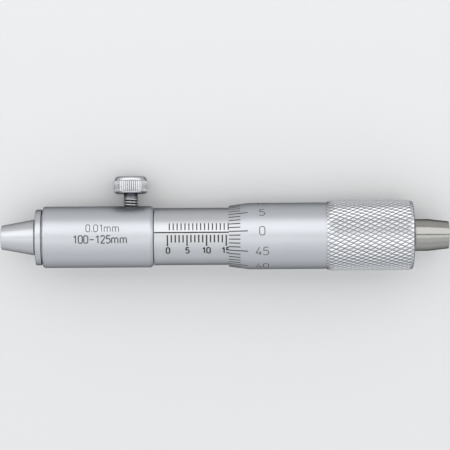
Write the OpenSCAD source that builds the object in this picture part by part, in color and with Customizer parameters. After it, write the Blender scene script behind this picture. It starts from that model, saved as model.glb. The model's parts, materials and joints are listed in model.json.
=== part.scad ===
// Tubular inside micrometer, 100 to 125 mm, lying on its side at rest.
// The axis runs along X from the fixed measuring face, at the origin, to the moving one.
// In the instrument's own frame the lock screw points along +Y and the index line faces +Z.

/* [Measuring range] */
// Travel of the measuring screw
travel = 25; // [20:0.5:30]
// Reading shown, counted from the shortest length
reading = 15.5; // [5:0.5:20]

/* [Fixed end] */
// Length of the fixed anvil outside its plug
fixed_anvil_l = 9.05; // [8:0.05:10.5]
// Diameter of the fixed anvil at its face
fixed_tip_d = 6.1; // [5.5:0.1:7]
// Diameter of the fixed anvil's cone at its root
fixed_root_d = 9.2; // [8.9:0.1:10]
// Solid nose of the fixed anvil, ahead of its bore
nose_l = 5.9; // [4.5:0.1:7]
// Diameter of the anvil's shank inside the plug
anvil_shank_d = 7.6; // [7.2:0.1:8]
// Length of the anvil's shank inside the plug
anvil_shank_l = 6; // [4:0.5:6.5]
// Width and depth of the undercut at the anvil's root
root_undercut = 0.4; // [0.2:0.05:0.5]
// Width of the plug's flange, with the groove behind it
flange_w = 1.8; // [1.5:0.1:2.5]
// Width of the groove between the flange and the body
groove_w = 0.3; // [0.2:0.05:0.4]
// Depth of that groove
groove_depth = 0.5; // [0.3:0.05:0.8]
// Diameter of the plug's threaded shank
plug_d = 10; // [9.4:0.1:11]
// Length of the plug's threaded shank
plug_l = 7.6; // [7:0.1:9]
// Radius of both spherical measuring faces
face_r = 25; // [20:1:45]

/* [Body] */
// Height of the shoulder over the sleeve
shoulder_lip = 0.05; // [0.03:0.01:0.1]
// Step from the shoulder up to the body
body_step = 0.5; // [0.3:0.05:1]
// Length of the chamfer on that step
step_chamfer_l = 0.7; // [0.4:0.05:1]
// Edge chamfer at the plug
body_chamfer = 0.725; // [0.4:0.025:0.9]
// Distance from the lock screw to the shoulder at the sleeve
lock_to_shoulder = 5.8; // [5.5:0.1:9]
// Diameter of the neck that carries the sleeve
neck_d = 12.4; // [12:0.1:13]
// Step from the neck down to the slotted nut end
nut_step = 1.2; // [0.8:0.1:1.5]
// Length of the slotted nut end
nut_end_l = 8; // [6:0.5:10]
// Length of the internal thread
nut_thread_l = 10; // [8:0.5:12]
// Width of the slots in the nut end
nut_slot_w = 0.6; // [0.4:0.1:1]
// Length of the slots ahead of the nut end
nut_slot_reach = 3; // [2:0.5:5]

/* [Sleeve] */
// Wall of the graduated sleeve
sleeve_wall = 1.13; // [0.8:0.01:1.4]
// Gap between the body's shoulder and the sleeve
sleeve_gap = 0.2; // [0.1:0.05:0.5]
// Distance from the shoulder to the zero line
zero_offset = 3.75; // [3:0.05:5]
// Length of sleeve left under the thimble at full travel
sleeve_lap = 4; // [2:0.5:6]
// Diameter of the hook spanner hole at the back
spanner_hole_d = 1.8; // [1.2:0.1:2.2]
// Distance of the spanner hole from the sleeve's front edge
spanner_hole_x = 2.2; // [1.6:0.1:2.6]
// Room between the adjusting nut and the thimble
adjuster_gap = 0.48; // [0.3:0.02:0.8]
// Length of the adjusting nut
adjuster_l = 5; // [3:0.5:5.5]
// Width of the adjusting nut's key notches
notch_w = 2; // [1.5:0.1:2.5]
// Depth of the adjusting nut's key notches
notch_depth = 0.9; // [0.6:0.1:1.2]

/* [Spindle] */
// Diameter of the plain spindle
spindle_d = 5; // [4.6:0.1:5.2]
// Diameter of the measuring screw's thread
thread_d = 6.5; // [6:0.1:6.8]
// Free length ahead of the thread at the shortest length
thread_clear = 1; // [0.5:0.1:2]
// Width of the run-out groove ahead of the thread
thread_groove_w = 1; // [0.6:0.1:1.5]
// Length of spindle left past the lock screw at full travel
tail_lap = 2; // [2:0.5:3]
// Free length behind the spindle at the shortest length
tail_gap = 0.6; // [0.4:0.1:1.5]
// Diameter of the moving anvil's stud
stud_d = 3.5; // [3:0.1:3.8]
// Length of the moving anvil's stud
stud_l = 8.4; // [7:0.1:9]
// Drop in diameter of the tapered seat
seat_drop = 1.1; // [0.6:0.1:1.2]
// Free length past the seat and past the stud, which lets the stud draw tight
draw_gap = 0.5; // [0.3:0.1:0.8]

/* [Thimble] */
// Wall of the thimble at its plain part
thimble_wall = 1.1; // [0.9:0.05:1.4]
// Wall of the thimble at its front edge
edge_wall = 0.35; // [0.25:0.05:0.6]
// Length of the graduated taper
taper_l = 5.2; // [4:0.1:6]
// End wall that holds the spindle's seat
end_wall = 6.1; // [5:0.1:8]
// Free space ahead of the end wall at the shortest length
end_gap = 4.45; // [2:0.05:6]
// Length of the knurled grip with both its edges
knurl_l = 22.3; // [18:0.1:26]
// Height of the knurl's crests over the plain part
knurl_rise = 0.525; // [0.45:0.025:0.7]
// Depth of the knurl's valleys under its crests
knurl_depth = 0.4; // [0.25:0.05:0.45]
// Number of diamonds around the grip
knurl_count = 48; // [36:2:56]
// Length of one diamond along the axis
knurl_pitch = 2.15; // [1.8:0.05:2.8]
// Slant of the rows of diamonds, as a share of one diamond's height
knurl_slant = 0.2; // [0:0.05:0.3]
// Chamfer at the start of the grip, measured along the axis
grip_chamfer = 1.3; // [1:0.1:1.6]
// Height of the chamfer's foot over the plain part
grip_foot = 0.07; // [0.05:0.01:0.1]
// Rounding of the grip's outer end
grip_round = 1.15; // [0.8:0.05:1.4]
// Drop from the knurl's crests to the rounding
round_drop = 0.25; // [0.2:0.05:0.35]
// Length of knurl that runs out over the rounding
knurl_runout = 0.2; // [0.1:0.05:0.3]
// Depth of the knurl's last ring under the rounding
runout_depth = 0.1; // [0.05:0.01:0.15]
// Depth of the knurl's root under the plain part
knurl_root = 0.35; // [0.2:0.05:0.5]

/* [Moving anvil] */
// Diameter of the plain shank
shank_d = 8.2; // [7.6:0.1:9]
// Length of the plain shank
shank_l = 3.9; // [3:0.1:4.5]
// Length of the whole anvil outside the thimble
moving_anvil_l = 9.4; // [8:0.1:10]
// Diameter of the moving anvil at its face
moving_tip_d = 7; // [6.2:0.1:7.4]

/* [Lock screw] */
// Diameter of the thread
lock_thread_d = 3.85; // [3.6:0.05:4]
// Step from the thread down to the neck under the head
lock_neck_step = 0.175; // [0.1:0.025:0.4]
// Length of the neck under the head
lock_neck_l = 1.45; // [1:0.05:2]
// Clear height from the body to the head
lock_lift = 3.05; // [2.5:0.05:4]
// Diameter over the head's teeth
lock_head_d = 8.8; // [8.4:0.1:10]
// Height of the toothed band
lock_band_h = 2.9; // [2:0.1:3.5]
// Number of teeth around the head
lock_teeth = 52; // [36:2:60]
// Depth of the teeth
lock_tooth_depth = 0.22; // [0.15:0.01:0.3]
// Height of the head's lower chamfer
lock_chamfer = 0.55; // [0.3:0.05:0.8]
// Plain step over the band
lock_step = 0.2; // [0.2:0.05:0.6]
// Drop from the roots of the teeth to that step
lock_step_drop = 0.1; // [0.05:0.01:0.2]
// Rounding of the head's shoulder
lock_round = 0.9; // [0.8:0.05:1.4]
// Thickness of the pad under the screw
pad_l = 1.5; // [1:0.1:1.8]
// Free gap between the pad and the spindle at rest
pad_gap = 0.2; // [0.2:0.05:0.4]

/* [Fits] */
// Gap all round in a joint that is screwed or pressed together
fit_gap = 0.02; // [0.01:0.005:0.03]
// Running gap all round the spindle and the lock screw
run_gap = 0.05; // [0.03:0.01:0.08]
// Running gap between the thimble and the sleeve
thimble_gap = 0.1; // [0.06:0.01:0.1]
// Room round a piece that only passes through a bore
pass_gap = 0.35; // [0.25:0.05:0.45]
// Small broken edge on turned pieces
edge_break = 0.2; // [0.1:0.05:0.3]

/* [Hidden] */
$fn = 96;
round_steps = 8;
overcut = 1;

// Radii that follow from the fits, from the axis outwards
spindle_r = spindle_d / 2;
thread_r = thread_d / 2;
guide_r = spindle_r + run_gap;
nut_r = thread_r + run_gap;
relief_r = thread_r + pass_gap;
tail_r = spindle_r + pass_gap;
neck_r = neck_d / 2;
sleeve_bore_r = neck_r + fit_gap;
sleeve_r = sleeve_bore_r + sleeve_wall;
thimble_bore_r = sleeve_r + thimble_gap;
edge_r = thimble_bore_r + edge_wall;
thimble_r = thimble_bore_r + thimble_wall;
crest_r = thimble_r + knurl_rise;
valley_r = crest_r - knurl_depth;
shoulder_r = sleeve_r + shoulder_lip;
body_r = shoulder_r + body_step;
flange_r = body_r - body_chamfer;
nut_end_r = neck_r - nut_step;

// Places along the axis, from the fixed face, in the pose shown
forward = travel - reading;
flange_x = fixed_anvil_l;
body_x = flange_x + flange_w;
lock_x = nose_l + tail_gap + travel + tail_lap;
shoulder_x = lock_x + lock_to_shoulder;
sleeve_x = shoulder_x + sleeve_gap;
zero_x = shoulder_x + zero_offset;
sleeve_end_x = zero_x + travel + sleeve_lap;
nut_end_x = sleeve_end_x + nut_end_l;
nut_thread_x = nut_end_x - nut_thread_l;
tail_x = lock_x - tail_lap - forward;
thread_x = nut_thread_x - forward;
relief_x = thread_x - reading - thread_clear;
edge_x = zero_x + reading;
cavity_x = nut_end_x + end_gap + reading;
thimble_end_x = cavity_x + end_wall;
knurl_x = thimble_end_x - knurl_l;
tip_x = thimble_end_x + moving_anvil_l;
socket_end_x = body_x + plug_l + edge_break;
anvil_socket_x = flange_x + anvil_shank_l;

// Distances from the axis along the lock screw
pad_y = spindle_r + pad_gap;
screw_tip_y = pad_y + pad_l + fit_gap;
head_y = body_r + lock_lift;
band_y = head_y + lock_chamfer;
step_y = band_y + lock_band_h;
head_top_y = step_y + lock_step + lock_round;
head_r = lock_head_d / 2;
tooth_r = head_r - lock_tooth_depth;
lock_hole_r = lock_thread_d / 2 + run_gap;

// The instrument rolls until the rim of the lock screw's head meets the floor under the grip
rest_dip = asin(crest_r / norm([step_y, head_r])) - atan(head_r / step_y);

// Turns a half section, given as [radius, place along the axis], about the X axis
module turned(outline) {
  rotate([0, 90, 0]) rotate_extrude() polygon(outline);
}

// Stands its children on the axis at the lock screw, pointing outwards
module on_lock_axis() {
  translate([lock_x, 0, 0]) rotate([-90, 0, 0]) children();
}

// Rolls the instrument to the pose in which it lies
module at_rest() {
  rotate([-rest_dip, 0, 0]) children();
}

// Hardened cone with a spherical face and a hollow shank for the spindle's tail
module fixed_anvil() {
  tip_r = fixed_tip_d / 2;
  root_r = fixed_root_d / 2;
  shank_r = anvil_shank_d / 2;
  undercut_r = root_r - root_undercut;
  color("silver") at_rest() intersection() {
    turned([
      [0, 0], [tip_r - edge_break, 0], [tip_r, edge_break],
      [root_r, flange_x - root_undercut], [undercut_r, flange_x - root_undercut],
      [undercut_r, flange_x], [shank_r, flange_x], [shank_r, anvil_socket_x],
      [tail_r, anvil_socket_x], [tail_r, nose_l], [0, nose_l]
    ]);
    translate([face_r, 0, 0]) sphere(r = face_r);
  }
}

// Flanged plug that screws into the body and carries the fixed anvil
module end_plug() {
  plug_r = plug_d / 2;
  socket_r = anvil_shank_d / 2 + fit_gap;
  groove_r = flange_r - groove_depth;
  plug_end_x = body_x + plug_l;
  color("silver") at_rest() turned([
    [socket_r, flange_x], [flange_r - edge_break, flange_x], [flange_r, flange_x + edge_break],
    [flange_r, body_x - groove_w], [groove_r, body_x - groove_w], [groove_r, body_x],
    [plug_r, body_x], [plug_r, plug_end_x - edge_break], [plug_r - edge_break, plug_end_x],
    [tail_r, plug_end_x], [tail_r, anvil_socket_x], [socket_r, anvil_socket_x]
  ]);
}

// One turned piece: the head that is held, the neck for the sleeve and the slotted nut
module main_body() {
  socket_r = plug_d / 2 + fit_gap;
  slot_l = nut_end_l + nut_slot_reach;
  color("lightsteelblue") at_rest() difference() {
    turned([
      [socket_r, body_x], [flange_r, body_x], [body_r, body_x + body_chamfer],
      [body_r, shoulder_x - step_chamfer_l], [shoulder_r, shoulder_x], [neck_r, shoulder_x],
      [neck_r, sleeve_end_x], [nut_end_r, sleeve_end_x], [nut_end_r, nut_end_x - edge_break],
      [nut_end_r - edge_break, nut_end_x], [nut_r, nut_end_x], [nut_r, nut_thread_x],
      [relief_r, nut_thread_x], [relief_r, relief_x], [guide_r, relief_x],
      [guide_r, socket_end_x], [socket_r, socket_end_x]
    ]);
    on_lock_axis() cylinder(r = lock_hole_r, h = body_r + overcut);
    for (turn = [45, 135])
      rotate([turn, 0, 0])
        translate([nut_end_x - (slot_l - overcut) / 2, 0, 0])
          cube([slot_l + overcut, neck_d + overcut, nut_slot_w], center = true);
  }
}

// Graduated tube, turned on the neck by a hook spanner to set the zero
module graduated_sleeve() {
  color("gainsboro") at_rest() difference() {
    turned([
      [sleeve_bore_r, sleeve_x], [sleeve_r - edge_break / 2, sleeve_x],
      [sleeve_r, sleeve_x + edge_break / 2], [sleeve_r, sleeve_end_x], [sleeve_bore_r, sleeve_end_x]
    ]);
    translate([sleeve_x + spanner_hole_x, 0, -sleeve_r - overcut])
      cylinder(d = spanner_hole_d, h = sleeve_wall + 2 * overcut);
  }
}

// Ring nut that closes the slotted end of the body on the screw
module adjusting_nut() {
  bore_r = nut_end_r + fit_gap;
  outer_r = thimble_bore_r - adjuster_gap;
  start_x = sleeve_end_x + (nut_end_l - adjuster_l) / 2;
  color("dimgray") at_rest() difference() {
    turned([
      [bore_r, start_x], [outer_r, start_x],
      [outer_r, start_x + adjuster_l], [bore_r, start_x + adjuster_l]
    ]);
    for (turn = [0, 90])
      rotate([turn, 0, 0])
        translate([start_x + adjuster_l, 0, 0])
          cube([2 * notch_depth, 2 * outer_r + overcut, notch_w], center = true);
  }
}

// Measuring screw: plain tail, fine thread and a tapered seat for the thimble
module spindle() {
  end_x = thimble_end_x - draw_gap;
  seat_r = thread_r - seat_drop / 2;
  socket_r = stud_d / 2 + run_gap;
  socket_x = thimble_end_x - stud_l - draw_gap;
  groove_r = spindle_r - edge_break;
  color("darkgray") at_rest() turned([
    [0, tail_x], [spindle_r - edge_break, tail_x], [spindle_r, tail_x + edge_break],
    [spindle_r, thread_x - thread_groove_w], [groove_r, thread_x - thread_groove_w], [groove_r, thread_x],
    [thread_r, thread_x + thread_r - groove_r], [thread_r, cavity_x], [seat_r, end_x],
    [socket_r, end_x], [socket_r, socket_x], [0, socket_x]
  ]);
}

// Places of the knurl's rings and of the points round each ring
knurl_end_x = thimble_end_x - grip_round + knurl_runout;
knurl_cols = 2 * round((knurl_end_x - knurl_x) / knurl_pitch);
knurl_rows = 2 * knurl_count;
foot_r = thimble_r + grip_foot;
root_r = thimble_r - knurl_root;
round_r = crest_r - round_drop;

function ring_x(i) = knurl_x + (knurl_end_x - knurl_x) * i / knurl_cols;
function ring_turn(i, j) = (j + knurl_slant * i) * 360 / knurl_rows;

// Crests and valleys alternate like a chequered board, cut back by the chamfer at the start
function chamfer_r(i) = foot_r + (crest_r - foot_r) * (ring_x(i) - knurl_x) / grip_chamfer;
function knurl_r(i, j) =
  i == 0 ? foot_r
  : i == knurl_cols ? round_r - runout_depth
  : min(chamfer_r(i), (i + j) % 2 == 1 ? crest_r : valley_r);

function on_ring(x, r, turn) = [x, r * cos(turn), r * sin(turn)];
function knurl_at(i, j) = i * knurl_rows + j % knurl_rows;

// Diamond knurl: one pyramid between four crossings of the two sets of grooves
module diamond_knurl() {
  last = knurl_cols;
  rows = knurl_rows;
  inner = (last + 1) * rows;
  outer_points = [
    for (i = [0:last]) for (j = [0:rows - 1]) on_ring(ring_x(i), knurl_r(i, j), ring_turn(i, j))
  ];
  inner_points = [
    for (i = [0, last]) for (j = [0:rows - 1]) on_ring(ring_x(i), root_r, ring_turn(i, j))
  ];
  diamond_faces = [
    for (i = [0:last - 1]) for (j = [0:rows - 1]) for (half = [0, 1])
      let (
        a = knurl_at(i, j),
        b = knurl_at(i + 1, j),
        c = knurl_at(i + 1, j + 1),
        d = knurl_at(i, j + 1)
      )
      (i + j) % 2 == 0 ? (half == 0 ? [a, b, c] : [a, c, d]) : (half == 0 ? [a, b, d] : [b, c, d])
  ];
  start_faces = [
    for (j = [0:rows - 1])
      let (next = (j + 1) % rows)
      [inner + j, knurl_at(0, j), knurl_at(0, j + 1), inner + next]
  ];
  end_faces = [
    for (j = [0:rows - 1])
      let (next = (j + 1) % rows)
      [inner + rows + j, inner + rows + next, knurl_at(last, j + 1), knurl_at(last, j)]
  ];
  bore_faces = [
    for (j = [0:rows - 1]) for (half = [0, 1])
      let (next = (j + 1) % rows)
      half == 0
        ? [inner + j, inner + next, inner + rows + next]
        : [inner + j, inner + rows + next, inner + rows + j]
  ];
  polyhedron(
    points = concat(outer_points, inner_points),
    faces = concat(diamond_faces, start_faces, end_faces, bore_faces)
  );
}

// Thimble: graduated taper, plain barrel, knurled grip and an end wall with the tapered seat
module thimble() {
  seat_r = thread_r + run_gap;
  seat_end_r = seat_r - seat_drop / 2;
  step_x = thimble_end_x - grip_round;
  end_r = round_r - grip_round;
  round_points = [
    for (k = [0:round_steps])
      let (turn = 90 * k / round_steps)
      [end_r + grip_round * cos(turn), step_x + grip_round * sin(turn)]
  ];
  color("gainsboro") at_rest() union() {
    turned(concat(
      [[thimble_bore_r, edge_x], [edge_r, edge_x], [thimble_r, edge_x + taper_l], [thimble_r, step_x]],
      round_points,
      [[seat_end_r, thimble_end_x], [seat_r, cavity_x], [thimble_bore_r, cavity_x]]
    ));
    diamond_knurl();
  }
}

// Hardened tip whose stud draws the thimble onto the spindle's seat
module moving_anvil() {
  tip_r = moving_tip_d / 2;
  shank_r = shank_d / 2;
  start_x = thimble_end_x + fit_gap;
  stud_x = thimble_end_x - stud_l;
  color("lightslategray") at_rest() intersection() {
    turned([
      [0, stud_x], [stud_d / 2, stud_x], [stud_d / 2, start_x], [shank_r - edge_break / 2, start_x],
      [shank_r, start_x + edge_break / 2], [shank_r, thimble_end_x + shank_l],
      [tip_r, tip_x - edge_break], [tip_r - edge_break, tip_x], [0, tip_x]
    ]);
    translate([tip_x - face_r, 0, 0]) sphere(r = face_r);
  }
}

// Thumb screw: toothed head with a rounded shoulder on a threaded stem
module lock_screw() {
  stem_r = lock_thread_d / 2;
  neck_y = head_y - lock_neck_l;
  shoulder_y = step_y + lock_step;
  neck_r = stem_r - lock_neck_step;
  step_r = tooth_r - lock_step_drop;
  round_points = [
    for (k = [0:round_steps])
      let (turn = 90 * k / round_steps)
      [step_r - lock_round + lock_round * cos(turn), shoulder_y + lock_round * sin(turn)]
  ];
  toothed = [
    for (k = [0:2 * lock_teeth - 1])
      let (turn = 180 * k / lock_teeth, r = k % 2 == 0 ? head_r : tooth_r)
      [r * cos(turn), r * sin(turn)]
  ];
  color("silver") at_rest() on_lock_axis() {
    rotate_extrude() polygon(concat(
      [
        [0, screw_tip_y], [stem_r - edge_break, screw_tip_y], [stem_r, screw_tip_y + edge_break],
        [stem_r, neck_y], [neck_r, neck_y], [neck_r, head_y],
        [step_r - lock_chamfer, head_y], [step_r, band_y]
      ],
      round_points,
      [[0, head_top_y]]
    ));
    translate([0, 0, band_y]) linear_extrude(lock_band_h) polygon(toothed);
  }
}

// Soft pad that the lock screw presses on the spindle
module lock_pad() {
  pad_r = lock_thread_d / 2 - fit_gap;
  color("goldenrod") at_rest() on_lock_axis()
    translate([0, 0, pad_y]) cylinder(r = pad_r, h = pad_l);
}

fixed_anvil();
end_plug();
main_body();
graduated_sleeve();
adjusting_nut();
spindle();
thimble();
moving_anvil();
lock_screw();
lock_pad();
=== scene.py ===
import json
import math

import bmesh
import bpy
from mathutils import Matrix, Vector


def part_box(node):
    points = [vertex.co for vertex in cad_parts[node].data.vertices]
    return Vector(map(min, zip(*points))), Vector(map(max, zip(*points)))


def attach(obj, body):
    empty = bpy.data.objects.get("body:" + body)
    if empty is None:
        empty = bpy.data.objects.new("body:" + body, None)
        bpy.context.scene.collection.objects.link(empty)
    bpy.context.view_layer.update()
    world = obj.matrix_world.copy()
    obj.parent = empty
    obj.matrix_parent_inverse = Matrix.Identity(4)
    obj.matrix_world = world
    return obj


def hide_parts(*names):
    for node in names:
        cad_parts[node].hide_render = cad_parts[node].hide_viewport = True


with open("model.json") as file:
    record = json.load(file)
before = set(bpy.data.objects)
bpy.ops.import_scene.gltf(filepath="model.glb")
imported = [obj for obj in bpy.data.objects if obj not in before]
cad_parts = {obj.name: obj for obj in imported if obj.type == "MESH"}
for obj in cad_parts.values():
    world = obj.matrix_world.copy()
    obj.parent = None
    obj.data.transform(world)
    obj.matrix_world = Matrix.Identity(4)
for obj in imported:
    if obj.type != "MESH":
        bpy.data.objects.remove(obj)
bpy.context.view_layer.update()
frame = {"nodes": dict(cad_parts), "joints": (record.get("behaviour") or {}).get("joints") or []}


# Fixed anvil: the hardened cone at the left end, ground to a spherical measuring face.
# It is a turned steel piece with a satin chrome plate, pressed into the plug behind it,
# and a narrow undercut at its root shows as a dark line.
MM = 0.001


def span(node):
    """Start and end along the axis and the outer radius of a turned node, in millimetres."""
    low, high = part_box(node)
    return low.x / MM, high.x / MM, (high.z - low.z) / 2 / MM


def half_section(points):
    """Flat face through (along, radius) points, beside the X axis."""
    bm = bmesh.new()
    bm.faces.new([bm.verts.new((along, 0, radius)) for along, radius in points])
    return bm


def spin_outline(bm, steps):
    """Spins the outline of a half section about the X axis into a closed surface."""
    bmesh.ops.delete(bm, geom=bm.faces[:], context="FACES_ONLY")
    axis_edges = [e for e in bm.edges if not any(v.co.z for v in e.verts)]
    bmesh.ops.delete(bm, geom=axis_edges, context="EDGES")
    bmesh.ops.spin(bm, geom=bm.verts[:] + bm.edges[:], cent=(0, 0, 0), axis=(1, 0, 0),
                   angle=2 * math.pi, steps=steps, use_merge=True)
    bmesh.ops.remove_doubles(bm, verts=bm.verts[:], dist=1e-4)
    bmesh.ops.recalc_face_normals(bm, faces=bm.faces[:])


def turned(points, corner, steps):
    """Turned piece from the points of its half section, with its corners broken."""
    bm = half_section(points)
    off_axis = [v for v in bm.verts if v.co.z > corner]
    bmesh.ops.bevel(bm, geom=off_axis, offset=corner, offset_type="OFFSET", affect="VERTICES",
                    segments=2, profile=0.5, material=-1)
    spin_outline(bm, steps)
    return bm


def arc(centre_x, centre_y, radius_x, radius_y, start, end, count):
    """Points along part of an ellipse, with its angles in degrees."""
    turns = [math.radians(start + (end - start) * k / count) for k in range(count + 1)]
    return [(centre_x + radius_x * math.cos(t), centre_y + radius_y * math.sin(t)) for t in turns]


def smooth_faces(bm, hard_angle=15):
    """Shades the faces smooth and keeps an edge hard where the surface turns by more than the angle."""
    bm.normal_update()
    for face in bm.faces:
        face.smooth = True
    for edge in bm.edges:
        edge.smooth = edge.calc_face_angle(math.pi) < math.radians(hard_angle)


def mesh_in_metres(bm, name):
    """Mesh of a shape that was drawn in millimetres."""
    bmesh.ops.scale(bm, vec=(MM, MM, MM), verts=bm.verts[:])
    mesh = bpy.data.meshes.new(name)
    bm.to_mesh(mesh)
    bm.free()
    return mesh


def put_in_scene(name, data):
    """Object that holds a mesh, a lamp or a camera."""
    holder = bpy.data.objects.new(name, data)
    bpy.context.scene.collection.objects.link(holder)
    return holder


def set_piece(bm, name, material, body, node=None):
    """Makes the piece from millimetres, puts it on its body and lets it stand for its node."""
    mesh = mesh_in_metres(bm, name)
    mesh.materials.append(material)
    piece = put_in_scene(name, mesh)
    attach(piece, body)
    if node:
        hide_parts(node)
    return piece


# The plate is chrome over a finely blasted surface, so its gloss and its tint drift a little.
plate_grain = bpy.data.node_groups.new("plate_grain", "ShaderNodeTree")
for socket in ("Grain per Metre", "Smoothest", "Roughest"):
    plate_grain.interface.new_socket(socket, in_out="INPUT", socket_type="NodeSocketFloat")
for socket in ("Pale", "Deep"):
    plate_grain.interface.new_socket(socket, in_out="INPUT", socket_type="NodeSocketColor")
plate_grain.interface.new_socket("Colour", in_out="OUTPUT", socket_type="NodeSocketColor")
for socket in ("Roughness", "Height"):
    plate_grain.interface.new_socket(socket, in_out="OUTPUT", socket_type="NodeSocketFloat")
given = plate_grain.nodes.new("NodeGroupInput")
place = plate_grain.nodes.new("ShaderNodeTexCoord")
grain = plate_grain.nodes.new("ShaderNodeTexNoise")
grain.inputs["Detail"].default_value = 3
drift = plate_grain.nodes.new("ShaderNodeTexNoise")
drift.inputs["Scale"].default_value = 110
drift.inputs["Detail"].default_value = 4
gloss = plate_grain.nodes.new("ShaderNodeMapRange")
gloss.inputs["From Min"].default_value = 0.3
gloss.inputs["From Max"].default_value = 0.7
tint = plate_grain.nodes.new("ShaderNodeMix")
tint.data_type = "RGBA"
put = plate_grain.nodes.new("NodeGroupOutput")
wire = plate_grain.links.new
wire(place.outputs["Object"], grain.inputs["Vector"])
wire(given.outputs["Grain per Metre"], grain.inputs["Scale"])
wire(place.outputs["Object"], drift.inputs["Vector"])
wire(grain.outputs["Fac"], gloss.inputs["Value"])
wire(given.outputs["Smoothest"], gloss.inputs["To Min"])
wire(given.outputs["Roughest"], gloss.inputs["To Max"])
wire(drift.outputs["Fac"], tint.inputs["Factor"])
wire(given.outputs["Pale"], tint.inputs["A"])
wire(given.outputs["Deep"], tint.inputs["B"])
wire(tint.outputs["Result"], put.inputs["Colour"])
wire(gloss.outputs["Result"], put.inputs["Roughness"])
wire(grain.outputs["Fac"], put.inputs["Height"])

grain_per_metre = 3200
grain_relief = 0.12
grain_depth = 0.02


def plated(name, pale, deep, smoothest, roughest):
    """Satin chrome plate with its own tint and gloss."""
    material = bpy.data.materials.new(name)
    material.use_nodes = True
    nodes, link = material.node_tree.nodes, material.node_tree.links.new
    shader = nodes["Principled BSDF"]
    shader.inputs["Metallic"].default_value = 1
    shader.inputs["Specular Tint"].default_value = (0.04, 0.045, 0.055, 1)
    finish = nodes.new("ShaderNodeGroup")
    finish.node_tree = plate_grain
    finish.inputs["Grain per Metre"].default_value = grain_per_metre
    finish.inputs["Smoothest"].default_value = smoothest
    finish.inputs["Roughest"].default_value = roughest
    finish.inputs["Pale"].default_value = (*pale, 1)
    finish.inputs["Deep"].default_value = (*deep, 1)
    bump = nodes.new("ShaderNodeBump")
    bump.inputs["Strength"].default_value = grain_relief
    bump.inputs["Distance"].default_value = grain_depth * MM
    link(finish.outputs["Colour"], shader.inputs["Base Color"])
    link(finish.outputs["Roughness"], shader.inputs["Roughness"])
    link(finish.outputs["Height"], bump.inputs["Height"])
    link(bump.outputs["Normal"], shader.inputs["Normal"])
    return material


face_r = 25
fixed_tip_r = 3.05
fixed_nose_l = 5.9
undercut_w = 0.42
undercut_depth = 0.85
fixed_shank_r = 3.8
tail_r = 2.85
fixed_end_x, fixed_root_r = span("fixed_anvil")[1:]
plug_x, plug_end_x, flange_r = span("end_plug")
undercut_x = plug_x - undercut_w
undercut_r = fixed_root_r - undercut_depth


def face_curve(tip_r, count=4):
    """Sagging depth of a spherical measuring face at even steps of its radius."""
    radii = [tip_r * k / count for k in range(count + 1)]
    return [(face_r - math.sqrt(face_r ** 2 - r ** 2), r) for r in radii]


anvil_section = face_curve(fixed_tip_r) + [
    (undercut_x, fixed_root_r), (undercut_x, undercut_r), (plug_x, undercut_r),
    (plug_x, fixed_shank_r), (fixed_end_x, fixed_shank_r),
    (fixed_end_x, tail_r), (fixed_nose_l, tail_r), (fixed_nose_l, 0),
]
anvil_mesh = turned(anvil_section, corner=0.06, steps=128)
smooth_faces(anvil_mesh)
anvil_plate = plated("satin_plate_anvil", pale=(0.52, 0.53, 0.55), deep=(0.49, 0.50, 0.52),
                     smoothest=0.33, roughest=0.39)
set_piece(anvil_mesh, "anvil_cone", anvil_plate, "frame", "fixed_anvil")


# End plug: the flanged steel plug that carries the fixed anvil and screws into the body.
# Only its satin chrome flange shows, with a thin turned groove behind it where it meets the body.
fit_gap = 0.02
plug_r = 5
groove_w = 0.3
groove_depth = 1
edge_break = 0.2
body_x, body_end_x, body_r = span("main_body")
groove_x = body_x - groove_w
groove_r = flange_r - groove_depth
plug_section = [
    (plug_x, fixed_shank_r + fit_gap), (plug_x, flange_r - edge_break), (plug_x + edge_break, flange_r),
    (groove_x, flange_r), (groove_x, groove_r), (body_x, groove_r),
    (body_x, plug_r), (plug_end_x - edge_break, plug_r), (plug_end_x, plug_r - edge_break),
    (plug_end_x, tail_r), (fixed_end_x, tail_r), (fixed_end_x, fixed_shank_r + fit_gap),
]
plug_mesh = turned(plug_section, corner=0.05, steps=128)
smooth_faces(plug_mesh)
plug_plate = plated("satin_plate_plug", pale=(0.50, 0.51, 0.53), deep=(0.47, 0.48, 0.50),
                    smoothest=0.32, roughest=0.38)
set_piece(plug_mesh, "end_flange", plug_plate, "frame", "end_plug")


# Main body: one turned steel piece with a satin chrome plate, the part that the hand holds.
# It runs on under the sleeve as a neck, and a cross hole takes the thread of the lock screw.
body_round = 0.725
shoulder_gap = 0.2
shoulder_r = 7.4
step_chamfer_l = 0.7
neck_r = 6.2
nut_end_r = 5
nut_bore_r = 3.3
screw_clear_r = 3.6
guide_r = 2.55
relief_x = 44.05
nut_thread_x = 70.05
sleeve_x, sleeve_end_x, sleeve_r = span("graduated_sleeve")
shoulder_x = sleeve_x - shoulder_gap
socket_r = plug_r + fit_gap
socket_end_x = plug_end_x + edge_break
body_edge = arc(body_x + body_round, body_r - body_round, body_round, body_round,
                start=180, end=90, count=5)
body_section = [(body_x, socket_r)] + body_edge + [
    (shoulder_x - step_chamfer_l, body_r), (shoulder_x, shoulder_r), (shoulder_x, neck_r),
    (sleeve_end_x, neck_r), (sleeve_end_x, nut_end_r), (body_end_x, nut_end_r), (body_end_x, nut_bore_r),
    (nut_thread_x, nut_bore_r), (nut_thread_x, screw_clear_r), (relief_x, screw_clear_r),
    (relief_x, guide_r), (socket_end_x, guide_r), (socket_end_x, socket_r),
]
body_mesh = turned(body_section, corner=0.05, steps=192)
smooth_faces(body_mesh)
body_plate = plated("satin_plate_body", pale=(0.49, 0.505, 0.53), deep=(0.46, 0.475, 0.50),
                    smoothest=0.37, roughest=0.43)
held_body = set_piece(body_mesh, "held_body", body_plate, "frame", "main_body")


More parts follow.
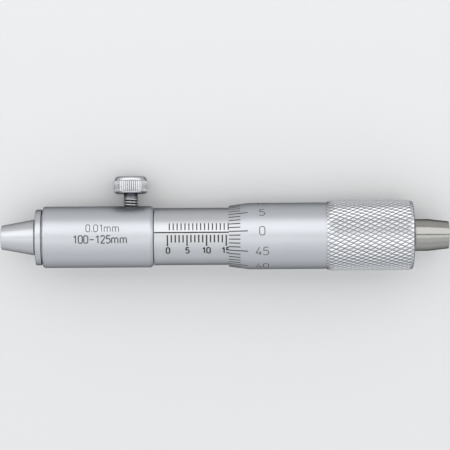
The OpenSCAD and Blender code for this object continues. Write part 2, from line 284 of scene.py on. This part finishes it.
def drill(piece, mouth, out, radius, depth):
    """Bores a round hole into a piece, from its mouth inwards."""
    bit_mesh = bmesh.new()
    facing = out.to_track_quat("Z", "X").to_matrix().to_4x4()
    bmesh.ops.create_cone(bit_mesh, segments=64, radius1=radius, radius2=radius, depth=2 * depth,
                          cap_ends=True, matrix=Matrix.Translation(mouth) @ facing)
    bit = put_in_scene("bit", mesh_in_metres(bit_mesh, "bit"))
    cut = piece.modifiers.new("cut", "BOOLEAN")
    cut.object = bit
    cut.operation = "DIFFERENCE"
    evaluated = piece.evaluated_get(bpy.context.evaluated_depsgraph_get())
    bored = bpy.data.meshes.new_from_object(evaluated)
    piece.modifiers.clear()
    piece.data = bored
    bpy.data.objects.remove(bit)


lock_joint = next(joint for joint in frame["joints"] if joint["name"] == "lock_turn")
lock_out = Vector(lock_joint["axis"])
lock_foot = Vector(lock_joint["pos_m"]) / MM
lock_hole_r = 1.975
lock_hole_depth = 0.75 * body_r
drill(held_body, lock_foot + lock_out * body_r, lock_out, lock_hole_r, lock_hole_depth)


# Range marking: the measuring range and the reading of one line, engraved on the body and filled grey.
# The strokes are those of a technical lettering stencil, with round ends and one width.
lock_to_index = math.radians(84.2)
index_turn = math.atan2(lock_out.y, lock_out.z) - lock_to_index


def stadium(width, height):
    """Closed outline of a narrow numeral nought, drawn from its top left."""
    half = width / 2
    top = arc(half, height - half, half, half, 180, 0, 8)
    return top + arc(half, half, half, half, 0, -180, 8) + top[:1]


# Each sign is its advance and its strokes, for a cap height of 1 and no stroke width.
SIGNS = {
    "0": (0.60, [stadium(0.44, 1)]),
    "1": (0.60, [[(0.10, 0.76), (0.30, 1), (0.30, 0)]]),
    "2": (0.60, [arc(0.22, 0.77, 0.22, 0.23, 165, -35, 8) + [(0, 0), (0.45, 0)]]),
    "3": (0.60, [arc(0.21, 0.76, 0.20, 0.24, 150, -90, 8) + arc(0.20, 0.26, 0.24, 0.26, 90, -150, 9)]),
    "4": (0.62, [[(0.30, 1), (0, 0.26), (0.48, 0.26)], [(0.34, 0.52), (0.34, 0)]]),
    "5": (0.60, [[(0.42, 1), (0.06, 1), (0.03, 0.56)] + arc(0.20, 0.32, 0.25, 0.32, 125, -145, 9)]),
    ".": (0.28, [[(0, 0.02), (0.10, 0.02)]]),
    "-": (0.66, [[(0.04, 0.47), (0.50, 0.47)]]),
    "m": (0.94, [[(0, 0), (0, 0.70)], arc(0.17, 0.50, 0.17, 0.19, 180, 0, 6) + [(0.34, 0)],
                 arc(0.51, 0.50, 0.17, 0.19, 180, 0, 6) + [(0.68, 0)]]),
}
longest_step = 0.1


def stepped(points):
    """Points along a stroke, close enough together to follow a round surface."""
    close = points[:1]
    for start, end in zip(points, points[1:]):
        count = math.ceil(math.dist(start, end) / longest_step)
        close += [tuple(Vector(start).lerp(Vector(end), k / count)) for k in range(1, count + 1)]
    return close


def lettered(bm, words, centre, height, stroke, widen):
    """Adds flat words to a mesh, centred on a point of the unrolled surface."""
    curve = bpy.data.curves.new("strokes", "CURVE")
    curve.dimensions = "3D"
    curve.bevel_depth = stroke / 2
    curve.bevel_resolution = 1
    curve.use_fill_caps = True
    cap = height - stroke
    pen = 0
    for sign in words:
        advance, strokes = SIGNS[sign]
        for points in map(stepped, strokes):
            spline = curve.splines.new("POLY")
            spline.points.add(len(points) - 1)
            for point, (x, y) in zip(spline.points, points):
                point.co = ((pen + x * widen) * cap, y * cap, 0, 1)
        pen += advance * widen
    holder = bpy.data.objects.new("strokes", curve)
    flat = bpy.data.meshes.new_from_object(holder)
    left = min(v.co.x for v in flat.vertices)
    right = max(v.co.x for v in flat.vertices)
    flat.transform(Matrix.Translation((centre[0] - (left + right) / 2, centre[1] - cap / 2, 0)))
    bm.from_mesh(flat)
    bpy.data.objects.remove(holder)
    bpy.data.curves.remove(curve)
    bpy.data.meshes.remove(flat)


mark_lift = 0.012
mark_hard_angle = 40


def roll_on(bm, unrolled_r, radius_at):
    """Flattens the marks and rolls them onto a turned surface, with the index line as their zero."""
    for v in bm.verts:
        turn = index_turn + v.co.y / unrolled_r
        height = radius_at(v.co.x) + max(-mark_lift, min(mark_lift, v.co.z))
        v.co = (v.co.x, height * math.sin(turn), height * math.cos(turn))
    smooth_faces(bm, mark_hard_angle)


def paint(name, thin, thick):
    """Filled engraving: a dull paint that lies unevenly in the cut."""
    material = bpy.data.materials.new(name)
    material.use_nodes = True
    nodes, link = material.node_tree.nodes, material.node_tree.links.new
    shader = nodes["Principled BSDF"]
    shader.inputs["Roughness"].default_value = 0.6
    shader.inputs["Specular IOR Level"].default_value = 0.15
    coordinates = nodes.new("ShaderNodeTexCoord")
    patches = nodes.new("ShaderNodeTexNoise")
    patches.inputs["Scale"].default_value = 1800
    colour = nodes.new("ShaderNodeValToRGB")
    colour.color_ramp.elements[0].position = 0.35
    colour.color_ramp.elements[0].color = (*thick, 1)
    colour.color_ramp.elements[1].position = 0.7
    colour.color_ramp.elements[1].color = (*thin, 1)
    link(coordinates.outputs["Object"], patches.inputs["Vector"])
    link(patches.outputs["Fac"], colour.inputs["Fac"])
    link(colour.outputs["Color"], shader.inputs["Base Color"])
    return material


reading_spot = (26.42, math.radians(8.6) * body_r)
range_spot = (25.9, math.radians(-12.4) * body_r)
marking_mesh = bmesh.new()
lettered(marking_mesh, "0.01mm", reading_spot, height=2.1, stroke=0.21, widen=1.19)
lettered(marking_mesh, "100-125mm", range_spot, height=2.27, stroke=0.32, widen=1.19)
roll_on(marking_mesh, body_r, lambda along: body_r)
marking_paint = paint("marking_paint", thin=(0.13, 0.13, 0.13), thick=(0.07, 0.07, 0.07))
set_piece(marking_mesh, "range_marking", marking_paint, "frame")


# Graduated sleeve: a thin satin chrome tube pushed over the neck and turned there to set the zero.
# A small hole at the back takes the hook spanner.
sleeve_bore_r = neck_r + fit_gap
sleeve_edge = edge_break / 2
sleeve_section = [
    (sleeve_x, sleeve_bore_r), (sleeve_x, sleeve_r - sleeve_edge), (sleeve_x + sleeve_edge, sleeve_r),
    (sleeve_end_x, sleeve_r), (sleeve_end_x, sleeve_bore_r),
]
sleeve_mesh = turned(sleeve_section, corner=0.03, steps=192)
smooth_faces(sleeve_mesh)
sleeve_plate = plated("satin_plate_sleeve", pale=(0.51, 0.52, 0.535), deep=(0.48, 0.49, 0.505),
                      smoothest=0.33, roughest=0.39)
scale_tube = set_piece(sleeve_mesh, "scale_tube", sleeve_plate, "frame", "graduated_sleeve")
spanner_hole_r = 0.9
spanner_hole_depth = 1
spanner_hole_inset = 2.2
spanner_out = Vector((0, lock_out.z, -lock_out.y))
spanner_mouth = Vector((sleeve_x + spanner_hole_inset, 0, 0)) + spanner_out * sleeve_r
drill(scale_tube, spanner_mouth, spanner_out, spanner_hole_r, spanner_hole_depth)


# Sleeve scale: the index line, millimetre lines under it, half millimetres over it and bold numerals.
# Engraved and filled dark.
zero_x = 43.01
scale_length = 25
index_line_w = 0.34
index_overrun = 3
index_start_x = sleeve_x + sleeve_edge
index_end_x = zero_x + scale_length + index_overrun
under_line_w = 0.36
under_start = 0.65
under_end = 2.57
under_fifth_end = 3.5
over_line_w = 0.29
over_start = 0.6
over_end = 2.45
sleeve_numeral_y = -4.76
one_figure_shift = 0.11


def line(bm, along, across, wide, tall):
    """Adds one flat engraved line, centred on a point of the unrolled surface."""
    fitted = Matrix.Translation((along, across, 0)) @ Matrix.Diagonal((wide, tall, 1, 1))
    bmesh.ops.create_grid(bm, x_segments=1, y_segments=8, size=0.5, matrix=fitted)


def thicken_lines(bm):
    """Gives flat lines their thickness."""
    walls = bmesh.ops.extrude_face_region(bm, geom=bm.faces[:])
    raised = [v for v in walls["geom"] if isinstance(v, bmesh.types.BMVert)]
    bmesh.ops.translate(bm, vec=(0, 0, mark_lift), verts=raised)
    bmesh.ops.recalc_face_normals(bm, faces=bm.faces[:])


scale_mesh = bmesh.new()
line(scale_mesh, (index_start_x + index_end_x) / 2, 0, index_end_x - index_start_x, index_line_w)
for millimetre in range(scale_length + 1):
    line_x = zero_x + millimetre
    line_end = under_fifth_end if millimetre % 5 == 0 else under_end
    line(scale_mesh, line_x, -(under_start + line_end) / 2, under_line_w, line_end - under_start)
    if millimetre < scale_length:
        line(scale_mesh, line_x + 0.5, (over_start + over_end) / 2, over_line_w, over_end - over_start)
thicken_lines(scale_mesh)
for millimetre in range(0, scale_length + 1, 5):
    numeral_x = zero_x + millimetre + (one_figure_shift if millimetre < 10 else 0)
    numeral_spot = (numeral_x, sleeve_numeral_y)
    lettered(scale_mesh, str(millimetre), numeral_spot, height=1.95, stroke=0.35, widen=1.22)
roll_on(scale_mesh, sleeve_r, lambda along: sleeve_r)
scale_paint = paint("scale_paint", thin=(0.060, 0.054, 0.044), thick=(0.022, 0.020, 0.016))
set_piece(scale_mesh, "sleeve_scale", scale_paint, "frame")


# Thimble: one turned steel cup in satin chrome, with a tapered front edge, a plain barrel and a grip.
# A wheel presses the diamonds into the grip, which starts behind a narrow groove
# and is rounded over at its end.
thimble_bore_r = 7.45
edge_r = 7.8
thimble_r = 8.55
taper_l = 5.2
front_set_back = 0.12
knurl_l = 22.3
knurl_depth = 0.26
knurl_count = 48
knurl_pitch = 2.15
knurl_slant = 0.2
knurl_stop = 0.3
grip_chamfer = 1.3
grip_foot = 0.07
grip_round = 1.15
foot_groove_w = 0.3
foot_groove_depth = 0.2
cavity_x = 100
seat_r = 3.3
seat_end_r = 2.75
thimble_x, thimble_end_x, crest_r = span("thimble")
front_x = thimble_x + front_set_back
valley_r = crest_r - knurl_depth
foot_r = thimble_r + grip_foot
knurl_x = thimble_end_x - knurl_l
knurl_end_x = thimble_end_x - knurl_stop
knurl_cols = 2 * round((knurl_end_x - knurl_x) / knurl_pitch)
knurl_rows = 2 * knurl_count
col_w = (knurl_end_x - knurl_x) / knurl_cols
row_turn = 2 * math.pi / knurl_rows
foot_groove_x = knurl_x - foot_groove_w
foot_groove_r = thimble_r - foot_groove_depth


def grip_radius(along):
    """Radius over the crests, with a chamfer at the start of the grip and a rounding at its end."""
    past = max(0, along - thimble_end_x + grip_round)
    rounded_r = crest_r - grip_round + math.sqrt(grip_round ** 2 - past ** 2)
    return min(rounded_r, foot_r + (crest_r - foot_r) * (along - knurl_x) / grip_chamfer)


last_turn = math.degrees(math.acos(1 - knurl_stop / grip_round))
grip_end = arc(thimble_end_x - grip_round, crest_r - grip_round, grip_round, grip_round,
               start=last_turn, end=0, count=6)
grip_rings = [(knurl_x + col_w * col, crest_r) for col in range(1, knurl_cols)]
thimble_section = [
    (front_x, thimble_bore_r), (front_x, edge_r), (front_x + taper_l, thimble_r),
    (foot_groove_x, thimble_r), (foot_groove_x, foot_groove_r), (knurl_x, foot_groove_r), (knurl_x, foot_r),
] + grip_rings + grip_end + [
    (thimble_end_x, seat_end_r), (cavity_x, seat_r), (cavity_x, thimble_bore_r), (knurl_x, thimble_bore_r),
]
thimble_mesh = half_section(thimble_section)
spin_outline(thimble_mesh, knurl_rows)
smooth_faces(thimble_mesh)

# The wheel leaves crests and valleys in turn along each ring, and each ring a little further round.
ring_slack = 0.01
groove_layer = thimble_mesh.verts.layers.float.new("groove")
crests = set()
valleys = []
for v in thimble_mesh.verts:
    col = (v.co.x - knurl_x) / col_w
    ring = round(col)
    radius = math.hypot(v.co.y, v.co.z)
    turn = math.atan2(v.co.y, v.co.z)
    on_crest = (ring + round(turn / row_turn)) % 2
    on_ring = abs(col - ring) < ring_slack and radius > thimble_r
    between_ends = on_ring and 0 < ring < knurl_cols
    at_end = on_ring and ring in (0, knurl_cols)
    if between_ends and on_crest:
        radius = grip_radius(v.co.x)
        crests.add(v)
    elif between_ends:
        radius = min(valley_r, grip_radius(v.co.x))
    if at_end or between_ends and not on_crest:
        valleys.append(v)
        v[groove_layer] = 1 - on_crest
    turn += knurl_slant * row_turn * max(0, min(knurl_cols, col))
    v.co.y = radius * math.sin(turn)
    v.co.z = radius * math.cos(turn)
pressed = {f for v in crests for f in v.link_faces}
for face in pressed:
    face.smooth = False
    face.material_index = 1
plain = [f for f in thimble_mesh.faces if f not in pressed]
bmesh.ops.connect_verts(thimble_mesh, verts=valleys, faces_exclude=plain)
thimble_plate = plated("satin_plate_thimble", pale=(0.49, 0.505, 0.53), deep=(0.46, 0.475, 0.50),
                       smoothest=0.37, roughest=0.43)
# The grip's plate is paler than the thimble's: the diamonds are painted lighter, besides their smoother
# gloss.
grip_plate = plated("satin_plate_grip", pale=(0.65, 0.66, 0.68), deep=(0.61, 0.62, 0.64),
                    smoothest=0.26, roughest=0.32)

# Painted shade: the grooves of the grip are coloured dark, which draws a painted shadow line round each
# diamond.
groove_shade_start = 0.68
grip_nodes = grip_plate.node_tree.nodes
groove_mask = grip_nodes.new("ShaderNodeAttribute")
groove_mask.attribute_name = "groove"
groove_shade_reach = grip_nodes.new("ShaderNodeMapRange")
groove_shade_reach.inputs["From Min"].default_value = groove_shade_start
painted_groove_shade = grip_nodes.new("ShaderNodeMix")
painted_groove_shade.data_type = "RGBA"
# Dark colour of the painted shade in the grooves of the grip.
painted_groove_shade.inputs["B"].default_value = (0.10, 0.10, 0.105, 1)
wire = grip_plate.node_tree.links.new
wire(groove_mask.outputs["Fac"], groove_shade_reach.inputs["Value"])
wire(groove_shade_reach.outputs["Result"], painted_groove_shade.inputs["Factor"])
wire(grip_nodes["Group"].outputs["Colour"], painted_groove_shade.inputs["A"])
wire(painted_groove_shade.outputs["Result"], grip_nodes["Principled BSDF"].inputs["Base Color"])
thimble_cup = set_piece(thimble_mesh, "thimble_cup", thimble_plate, "thimble", "thimble")
thimble_cup.data.materials.append(grip_plate)


# Thimble scale: fifty lines on the taper, a longer one at every fifth, with numerals beside them.
# Engraved and filled dark, they turn with the thimble.
parts = 50
part_w = 2 * math.pi * thimble_r / parts
part_start = 0.15
part_line_w = 0.29
part_line_l = 2.93
fifth_line_l = 4.83
line_inset = 0.03
part_numeral_x = 67.2


def taper_radius(along):
    """Outer radius of the thimble along its taper and barrel."""
    return min(thimble_r, edge_r + (thimble_r - edge_r) * (along - front_x) / taper_l)


thimble_scale_mesh = bmesh.new()
for part in range(parts):
    line_l = fifth_line_l if part % 5 == 0 else part_line_l
    line_x = front_x + line_inset + line_l / 2
    line(thimble_scale_mesh, line_x, part_start + part * part_w, line_l, part_line_w)
thicken_lines(thimble_scale_mesh)
for part in range(0, parts, 5):
    numeral_spot = (part_numeral_x, part_start + part * part_w)
    lettered(thimble_scale_mesh, str(part), numeral_spot, height=2.45, stroke=0.21, widen=1.35)
roll_on(thimble_scale_mesh, thimble_r, taper_radius)
thimble_paint = paint("thimble_paint", thin=(0.09, 0.08, 0.065), thick=(0.04, 0.036, 0.03))
set_piece(thimble_scale_mesh, "thimble_scale", thimble_paint, "thimble")


# Moving anvil: the bare hardened steel tip, ground and polished all round, that meets the work.
# Its stud draws the thimble onto the tapered seat of the spindle.
moving_tip_r = 3.5
shank_l = 3.9
stud_r = 1.75
shank_edge = edge_break / 2
stud_x, tip_x, shank_r = span("moving_anvil")
shank_x = thimble_end_x + fit_gap
tip_face = [(tip_x - depth, radius) for depth, radius in reversed(face_curve(moving_tip_r))]
tip_section = [
    (stud_x, 0), (stud_x, stud_r), (shank_x, stud_r), (shank_x, shank_r - shank_edge),
    (shank_x + shank_edge, shank_r), (thimble_end_x + shank_l, shank_r),
] + tip_face
tip_mesh = turned(tip_section, corner=0.04, steps=128)
smooth_faces(tip_mesh)

# Grinding and turning leave fine rings round a piece, which break up its gloss along the axis.
tool_rings = bpy.data.node_groups.new("tool_rings", "ShaderNodeTree")
for socket in ("Along", "Rings per Metre", "Smoothest", "Roughest"):
    tool_rings.interface.new_socket(socket, in_out="INPUT", socket_type="NodeSocketFloat")
for socket in ("Roughness", "Height"):
    tool_rings.interface.new_socket(socket, in_out="OUTPUT", socket_type="NodeSocketFloat")
given = tool_rings.nodes.new("NodeGroupInput")
rings = tool_rings.nodes.new("ShaderNodeTexNoise")
rings.noise_dimensions = "1D"
rings.inputs["Detail"].default_value = 2
gloss = tool_rings.nodes.new("ShaderNodeMapRange")
gloss.inputs["From Min"].default_value = 0.3
gloss.inputs["From Max"].default_value = 0.7
put = tool_rings.nodes.new("NodeGroupOutput")
wire = tool_rings.links.new
wire(given.outputs["Along"], rings.inputs["W"])
wire(given.outputs["Rings per Metre"], rings.inputs["Scale"])
wire(rings.outputs["Fac"], gloss.inputs["Value"])
wire(given.outputs["Smoothest"], gloss.inputs["To Min"])
wire(given.outputs["Roughest"], gloss.inputs["To Max"])
wire(gloss.outputs["Result"], put.inputs["Roughness"])
wire(rings.outputs["Fac"], put.inputs["Height"])

ring_depth = 0.01


def tooled(name, colour, smoothest, roughest, rings_per_metre, relief, axis=(1, 0, 0)):
    """Bare or plated metal with the rings of its last cut about the given axis."""
    material = bpy.data.materials.new(name)
    material.use_nodes = True
    nodes, link = material.node_tree.nodes, material.node_tree.links.new
    shader = nodes["Principled BSDF"]
    shader.inputs["Metallic"].default_value = 1
    shader.inputs["Base Color"].default_value = (*colour, 1)
    shader.inputs["Specular Tint"].default_value = (0.08, 0.08, 0.08, 1)
    coordinates = nodes.new("ShaderNodeTexCoord")
    along = nodes.new("ShaderNodeVectorMath")
    along.operation = "DOT_PRODUCT"
    along.inputs[1].default_value = axis
    finish = nodes.new("ShaderNodeGroup")
    finish.node_tree = tool_rings
    finish.inputs["Rings per Metre"].default_value = rings_per_metre
    finish.inputs["Smoothest"].default_value = smoothest
    finish.inputs["Roughest"].default_value = roughest
    bump = nodes.new("ShaderNodeBump")
    bump.inputs["Strength"].default_value = relief
    bump.inputs["Distance"].default_value = ring_depth * MM
    link(coordinates.outputs["Object"], along.inputs[0])
    link(along.outputs["Value"], finish.inputs["Along"])
    link(finish.outputs["Roughness"], shader.inputs["Roughness"])
    link(finish.outputs["Height"], bump.inputs["Height"])
    link(bump.outputs["Normal"], shader.inputs["Normal"])
    return material


tip_steel = tooled("polished_steel", (0.32, 0.316, 0.30), smoothest=0.13, roughest=0.18,
                   rings_per_metre=9000, relief=0.06)
set_piece(tip_mesh, "anvil_tip", tip_steel, "tip", "moving_anvil")


# Lock screw head: a bright chrome thumb head with a rounded foot, a toothed band, a plain step
# and a rounded top. The teeth are pressed into the turned head like the grip of the thimble.
head_y = 11.15
head_chamfer = 0.45
band_h = 2.9
band_chamfer = 0.25
teeth = 52
head_r = 4.4
tooth_r = 4.18
step_r = 4.08
step_h = 0.1
head_round = 0.9
band_y = head_y + head_chamfer
step_y = band_y + band_h
top_y = step_y + step_h
head_foot = arc(band_y, step_r - head_chamfer, head_chamfer, head_chamfer, start=180, end=90, count=6)
head_band = [(band_y, head_r), (step_y - band_chamfer, head_r), (step_y, step_r)]
head_top = arc(top_y, step_r - head_round, head_round, head_round, start=90, end=0, count=8)
head_section = [(head_y, 0)] + head_foot + head_band + head_top + [(top_y + head_round, 0)]
head_mesh = turned(head_section, corner=0.03, steps=4 * teeth)
for v in head_mesh.verts:
    radius = math.hypot(v.co.y, v.co.z)
    quarter = round(math.atan2(v.co.y, v.co.z) * 2 * teeth / math.pi)
    if radius > tooth_r and quarter % 4 == 2:
        v.co.yz = v.co.yz * (radius - head_r + tooth_r) / radius
smooth_faces(head_mesh)
lock_place = Matrix.Translation(lock_foot) @ lock_out.to_track_quat("X", "Z").to_matrix().to_4x4()
bmesh.ops.transform(head_mesh, matrix=lock_place, verts=head_mesh.verts[:])
head_chrome = tooled("bright_chrome", (0.52, 0.525, 0.54), smoothest=0.18, roughest=0.24,
                     rings_per_metre=9000, relief=0.03, axis=lock_out)
set_piece(head_mesh, "thumb_head", head_chrome, "lock", "lock_screw")


# Lock screw stem: a 4 mm steel thread of 0.7 mm pitch, left oily and darker than the head,
# with a painted highlight on its crests, which get a paler steel. A plain neck joins it to the head.
stem_x = 4.22
stem_r = 1.925
thread_root_r = 1.56
thread_pitch = 0.7
thread_shift = 0.17
flank_slope = 3.4
root_share = 0.1
crest_highlight_r = 1.8
stem_neck_r = 1.75
stem_neck_x = 9.78
head_overlap = 0.2
stem_end_x = head_y + head_overlap
cuts_per_turn = 10
cuts = round((stem_neck_x - stem_x) / thread_pitch * cuts_per_turn)
cut_w = (stem_neck_x - stem_x) / cuts
stem_section = [(stem_x, 0)] + [(stem_x + cut_w * k, stem_r) for k in range(cuts + 1)]
stem_section += [(stem_neck_x, stem_neck_r), (stem_end_x, stem_neck_r), (stem_end_x, 0)]
stem_mesh = turned(stem_section, corner=0.0005, steps=48)
for v in stem_mesh.verts:
    radius = math.hypot(v.co.y, v.co.z)
    if radius > (stem_neck_r + stem_r) / 2:
        turns = math.atan2(v.co.y, v.co.z) / (2 * math.pi)
        phase = ((v.co.x + thread_shift) / thread_pitch - turns) % 1
        flank = max(0, min(1, flank_slope * abs(phase - 0.5) - root_share))
        v.co.yz = v.co.yz * (thread_root_r + (stem_r - thread_root_r) * flank) / radius
bmesh.ops.recalc_face_normals(stem_mesh, faces=stem_mesh.faces[:])
smooth_faces(stem_mesh, hard_angle=35)
# Faces out at the crests get the paler steel: a painted highlight along the thread.
for face in stem_mesh.faces:
    centre = face.calc_center_median()
    if math.hypot(centre.y, centre.z) > crest_highlight_r:
        face.material_index = 1
bmesh.ops.transform(stem_mesh, matrix=lock_place, verts=stem_mesh.verts[:])
stem_steel = tooled("oiled_steel", (0.155, 0.167, 0.18), smoothest=0.22, roughest=0.34,
                    rings_per_metre=7000, relief=0.2, axis=lock_out)
crest_highlight_steel = tooled("painted_crest_highlight", (0.43, 0.425, 0.405), smoothest=0.35, roughest=0.45,
                     rings_per_metre=7000, relief=0.2, axis=lock_out)
lock_stem = set_piece(stem_mesh, "lock_stem", stem_steel, "lock")
lock_stem.data.materials.append(crest_highlight_steel)


# Inner pieces: the measuring screw, the ring nut that takes up its play and the soft pad of the lock.
# They keep their solids and get the finishes of plain ground steel and brass.
inner_steel = tooled("ground_steel", (0.50, 0.49, 0.47), smoothest=0.2, roughest=0.32,
                     rings_per_metre=6000, relief=0.2)
pad_brass = tooled("pad_brass", (0.72, 0.56, 0.28), smoothest=0.25, roughest=0.4,
                   rings_per_metre=6000, relief=0.2, axis=lock_out)
for node, finish in (("spindle", inner_steel), ("adjusting_nut", inner_steel), ("lock_pad", pad_brass)):
    slots = frame["nodes"][node].data.materials
    slots.clear()
    slots.append(finish)


# Studio: a plain pale table under the instrument and five long softboxes along it,
# brightest over its upper side and dimmer in steps towards its lower side.
# The narrow gap above the front one draws the thin dark line on the polished tip.
table_half_w = 2000
table_mesh = bmesh.new()
bmesh.ops.create_grid(table_mesh, x_segments=1, y_segments=1, size=table_half_w)
bmesh.ops.translate(table_mesh, vec=(0, 0, -crest_r), verts=table_mesh.verts[:])
table = put_in_scene("table", mesh_in_metres(table_mesh, "table"))
table_paint = bpy.data.materials.new("table_paint")
table_paint.use_nodes = True
table_shader = table_paint.node_tree.nodes["Principled BSDF"]
table_shader.inputs["Base Color"].default_value = (0.62, 0.62, 0.62, 1)
table_shader.inputs["Roughness"].default_value = 0.8
table_shader.inputs["Specular IOR Level"].default_value = 0.1
table.data.materials.append(table_paint)

index_lean = math.radians(8.3)
view_lean = index_turn - index_lean
to_camera = Vector((0, math.sin(view_lean), math.cos(view_lean)))
image_up = Vector((0, math.cos(view_lean), -math.sin(view_lean)))
image_right = Vector((1, 0, 0))
middle_x = 57.7 * MM
middle = Vector((middle_x, 0, 0))
softbox_l = 6


def softbox(name, lean, distance, height, radiance, tint):
    """Area light that leans from the camera's direction towards the top of the picture."""
    lamp = bpy.data.lights.new(name, "AREA")
    lamp.shape = "RECTANGLE"
    lamp.size = softbox_l
    lamp.size_y = height
    lamp.energy = radiance * math.pi * softbox_l * height
    lamp.color = tint
    back = to_camera * math.cos(math.radians(lean)) + image_up * math.sin(math.radians(lean))
    facing = Matrix((image_right, back.cross(image_right), back)).transposed().to_4x4()
    put_in_scene(name, lamp).matrix_world = Matrix.Translation(middle + back * distance) @ facing


softbox("top_softbox", lean=65, distance=0.7, height=0.17, radiance=0.8, tint=(1, 1, 1))
softbox("upper_softbox", lean=32.5, distance=0.6, height=0.57, radiance=1.9, tint=(1, 1, 1))
softbox("front_softbox", lean=-9.6, distance=0.8, height=0.3, radiance=1.6, tint=(1, 1, 1))
softbox("lower_softbox", lean=-35.7, distance=0.8, height=0.45, radiance=1.1, tint=(0.98, 0.99, 1))
softbox("low_softbox", lean=-78.5, distance=0.8, height=0.83, radiance=0.89, tint=(0.97, 0.985, 1))

world = bpy.data.worlds.new("studio")
world.use_nodes = True
world.node_tree.nodes["Background"].inputs["Color"].default_value = (0.05, 0.055, 0.065, 1)
world.node_tree.nodes["Background"].inputs["Strength"].default_value = 1
bpy.context.scene.world = world


# Camera: nearly straight above, leaning a little to the lock screw, as in the photograph.
# Its distance is large against the instrument, so the two ends are drawn almost without perspective.
camera_distance = 0.7
frame_w = 115.9 * MM
axis_drop = 2.9 * MM
roll = math.radians(0.37)
camera = bpy.data.cameras.new("camera")
camera.sensor_width = 36
camera.lens = camera.sensor_width * camera_distance / frame_w
camera.clip_start = 0.01
camera.clip_end = 20
camera_holder = put_in_scene("camera", camera)
right = image_right * math.cos(roll) - image_up * math.sin(roll)
up = image_right * math.sin(roll) + image_up * math.cos(roll)
camera_turn = Matrix((right, up, to_camera)).transposed().to_4x4()
camera_spot = middle + up * axis_drop + to_camera * camera_distance
camera_holder.matrix_world = Matrix.Translation(camera_spot) @ camera_turn
bpy.context.scene.camera = camera_holder
bpy.context.scene.view_settings.view_transform = "Standard"
